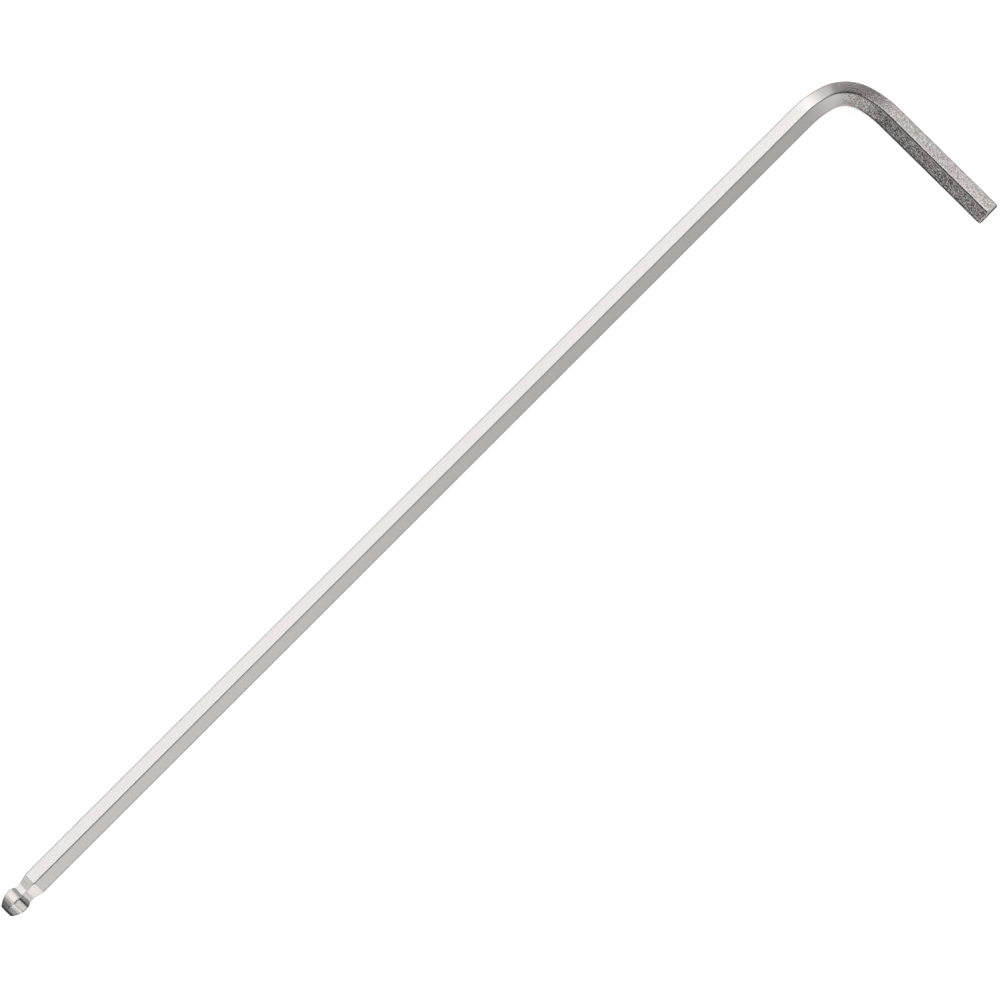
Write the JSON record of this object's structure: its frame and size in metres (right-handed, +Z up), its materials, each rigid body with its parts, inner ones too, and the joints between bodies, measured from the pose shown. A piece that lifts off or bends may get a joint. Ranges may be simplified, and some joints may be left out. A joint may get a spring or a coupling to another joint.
{
  "type": "hex key",
  "caption": "L-shaped hex key bent from round-cornered hexagonal bar, with a ball end on the long arm and a chamfered end on the short arm.",
  "frame": {"origin": "under the middle of the key's bounding box, on the surface that the key lies on", "axes": "+X along the long arm, from the ball end to the bend; the short arm points towards -Y; +Z up, square to the plane of the bend"},
  "size_m": [0.1146, 0.0206, 0.0028],
  "materials": {
    "plated_steel": "satin nickel plate over alloy steel, slightly grainy"
  },
  "bodies": {
    "root": {"hex_key": "plated_steel"}
  },
  "joints": []
}
